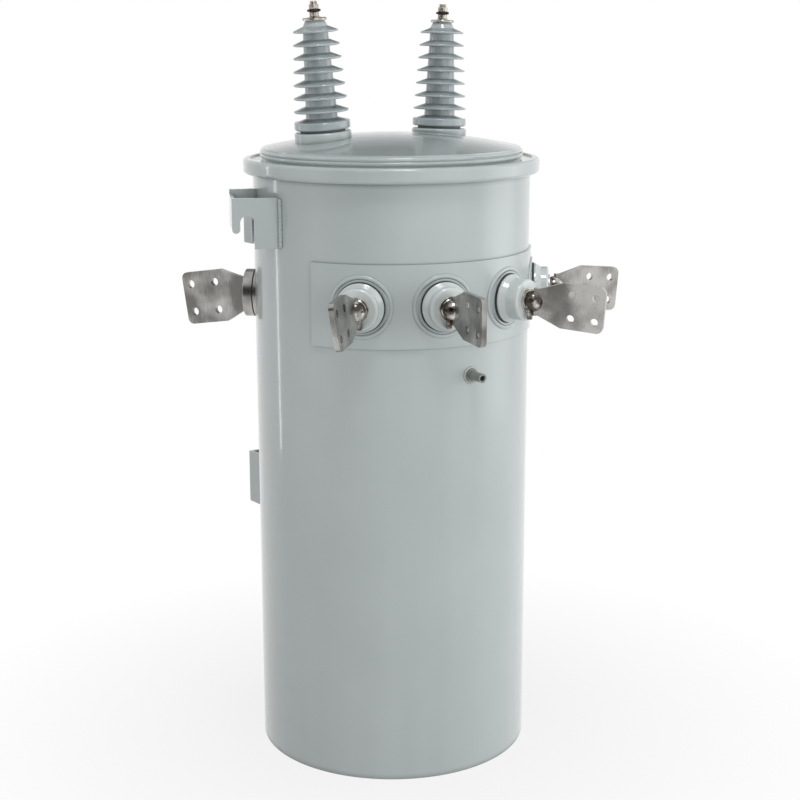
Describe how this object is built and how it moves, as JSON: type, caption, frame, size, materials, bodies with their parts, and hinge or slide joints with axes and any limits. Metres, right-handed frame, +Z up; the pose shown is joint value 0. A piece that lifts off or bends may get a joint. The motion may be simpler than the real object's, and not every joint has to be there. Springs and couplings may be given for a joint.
{
  "type": "pole mounted transformer",
  "caption": "Round oil-filled distribution transformer for a pole, with porcelain high-voltage bushings on its domed cover and low-voltage spade terminals round its wall.",
  "frame": {"origin": "centre of the tank's flat underside", "axes": "+Z up along the tank, -Y towards the four low-voltage terminals, +Y towards the pole"},
  "size_m": [0.7118, 0.7635, 1.4505],
  "materials": {
    "paint": "glossy grey paint",
    "porcelain": "glazed",
    "lv_porcelain": "glazed",
    "terminal_metal": "brushed",
    "polished_steel": "polished",
    "ground_metal": "plated",
    "rubber": "matt"
  },
  "bodies": {
    "root": {"tank_floor": "paint", "tank_shell": "paint", "cover_gasket": "rubber", "cover": "paint", "clamp_band": "paint", "clamp_bolt": "terminal_metal", "terminal_pad": "paint", "side_boss": "terminal_metal", "lv_gasket_1": "rubber", "lv_gasket_2": "rubber", "lv_gasket_3": "rubber", "lv_gasket_4": "rubber", "lv_gasket_5": "rubber", "lv_bushing_1": "lv_porcelain", "lv_bushing_2": "lv_porcelain", "lv_bushing_3": "lv_porcelain", "lv_bushing_4": "lv_porcelain", "lv_bushing_5": "terminal_metal", "lv_washer_1": "polished_steel", "lv_washer_2": "polished_steel", "lv_washer_3": "polished_steel", "lv_washer_4": "polished_steel", "lv_washer_5": "polished_steel", "lv_spade_1": "terminal_metal", "lv_spade_2": "terminal_metal", "lv_spade_3": "terminal_metal", "lv_spade_4": "terminal_metal", "lv_spade_5": "terminal_metal", "hv_clamp_left": "paint", "hv_clamp_right": "paint", "hv_gasket_left": "rubber", "hv_gasket_right": "rubber", "hv_bushing_left": "porcelain", "hv_bushing_right": "porcelain", "hv_terminal_left": "terminal_metal", "hv_terminal_right": "terminal_metal", "lifting_lug_left": "paint", "lifting_lug_right": "paint", "hanger_upper": "paint", "hanger_lower": "paint", "ground_boss": "ground_metal"}
  },
  "joints": []
}
